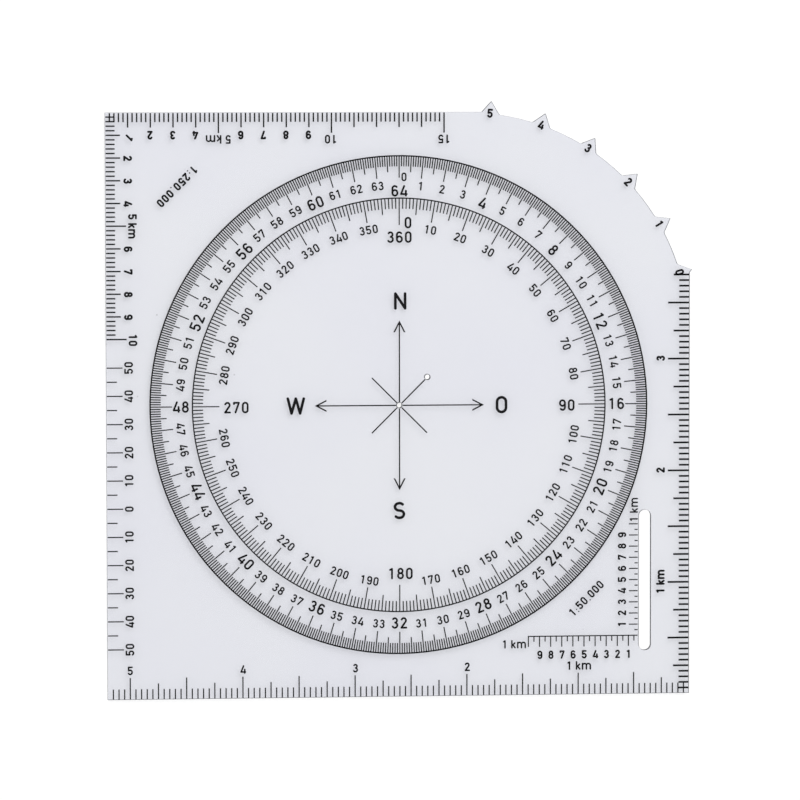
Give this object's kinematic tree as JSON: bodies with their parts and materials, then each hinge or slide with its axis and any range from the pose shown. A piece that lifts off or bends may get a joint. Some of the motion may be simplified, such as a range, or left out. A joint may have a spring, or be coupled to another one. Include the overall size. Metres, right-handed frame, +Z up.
{
  "type": "map protractor",
  "caption": "Square clear plastic map protractor with mil and degree rings, compass rose, map scales on all edges, a toothed corner, pin holes and a pencil slot.",
  "frame": {"origin": "on the axis of the centre hole, at the underside of the sheet", "axes": "+X to the printed east, +Y to the printed north, +Z up out of the map, along the centre hole"},
  "size_m": [0.1044, 0.1059, 0.0012],
  "materials": {
    "clear_plastic": "clear and polished, with a faint cool tint and saw-cut edges",
    "black_ink": "screen-printed black ink"
  },
  "bodies": {
    "root": {"clear_sheet": "clear_plastic", "mil_ring_print": "black_ink", "degree_ring_print": "black_ink", "compass_rose_print": "black_ink", "scale_50000_print": "black_ink", "scale_250000_print": "black_ink", "deviation_scale_print": "black_ink", "slot_scale_print": "black_ink"}
  },
  "joints": []
}
